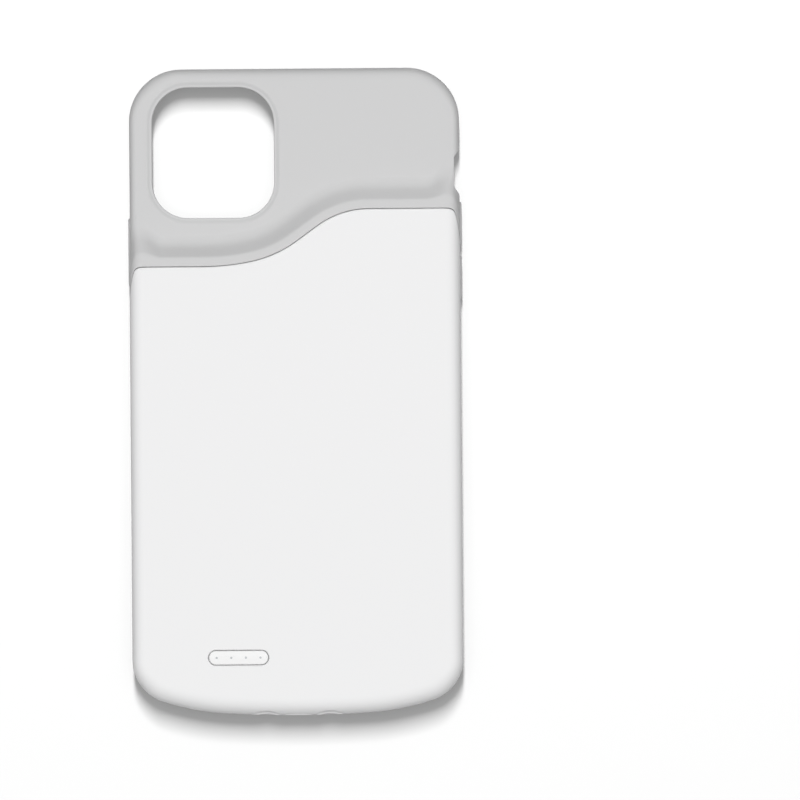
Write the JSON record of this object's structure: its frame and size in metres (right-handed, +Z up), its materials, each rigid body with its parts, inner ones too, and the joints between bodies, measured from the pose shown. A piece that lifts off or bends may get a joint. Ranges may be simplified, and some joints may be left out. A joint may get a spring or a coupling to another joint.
{
  "type": "battery charging case",
  "caption": "Phone battery case with a soft frame and front lip, camera window, S-shaped seam to a white battery cover, side keys and a status button.",
  "frame": {"origin": "middle of the outline seen from above, on the plane of the front lip that the case lies on", "axes": "+Z up and out of the back, +Y to the top edge with the camera window, +X to the side with the volume keys"},
  "size_m": [0.085, 0.1644, 0.0166],
  "materials": {
    "grey_soft": "satin soft-touch light grey",
    "white_satin": "fine satin white",
    "tray_grey": "fine matt grey",
    "tape": "double-sided tape",
    "pouch": "dull laminated foil",
    "nickel": "bright strip",
    "board_green": "solder mask",
    "wire_red": "satin",
    "wire_black": "satin",
    "screw_steel": "zinc plated",
    "chip_black": "matt moulded",
    "ferrite": "matt ferrite",
    "ceramic": "satin ceramic",
    "lamp_white": "clear resin",
    "guide_clear": "milky clear",
    "switch_steel": "stamped",
    "button_white": "satin white",
    "port_steel": "plated shell",
    "gold": "gold plate",
    "flex_amber": "polyimide film"
  },
  "bodies": {
    "case": {"bumper_frame": "grey_soft", "back_cover": "white_satin", "inner_tray": "tray_grey", "cell_tape": "tape", "battery_cell": "pouch", "cell_tabs": "nickel", "protection_board": "board_green", "lead_red": "wire_red", "lead_black": "wire_black", "main_board": "board_green", "board_screws": "screw_steel", "charger_chip": "chip_black", "controller_chip": "chip_black", "boost_inductor": "ferrite", "capacitors": "ceramic", "status_leds": "lamp_white", "switch_body": "switch_steel", "charge_port_shell": "port_steel", "charge_port_tongue": "chip_black", "phone_plug_base": "tray_grey", "phone_plug_blade": "port_steel", "plug_contacts": "gold", "plug_flex": "flex_amber"},
    "button": {"status_button": "button_white", "light_guide": "guide_clear", "switch_plunger": "chip_black"},
    "volume_up": {"volume_up_key": "grey_soft"},
    "volume_down": {"volume_down_key": "grey_soft"},
    "power": {"power_key": "grey_soft"}
  },
  "joints": [
    {"name": "button_press", "type": "slide", "parent": "case", "child": "button", "axis": [0, 0, -1], "range_m": [0, 0.0003], "stiffness_N_per_m": 200},
    {"name": "volume_up_press", "type": "slide", "parent": "case", "child": "volume_up", "axis": [-1, 0, 0], "range_m": [0, 0.0004], "stiffness_N_per_m": 200},
    {"name": "volume_down_press", "type": "slide", "parent": "case", "child": "volume_down", "axis": [-1, 0, 0], "range_m": [0, 0.0004], "stiffness_N_per_m": 200},
    {"name": "power_press", "type": "slide", "parent": "case", "child": "power", "axis": [1, 0, 0], "range_m": [0, 0.0004], "stiffness_N_per_m": 200}
  ]
}
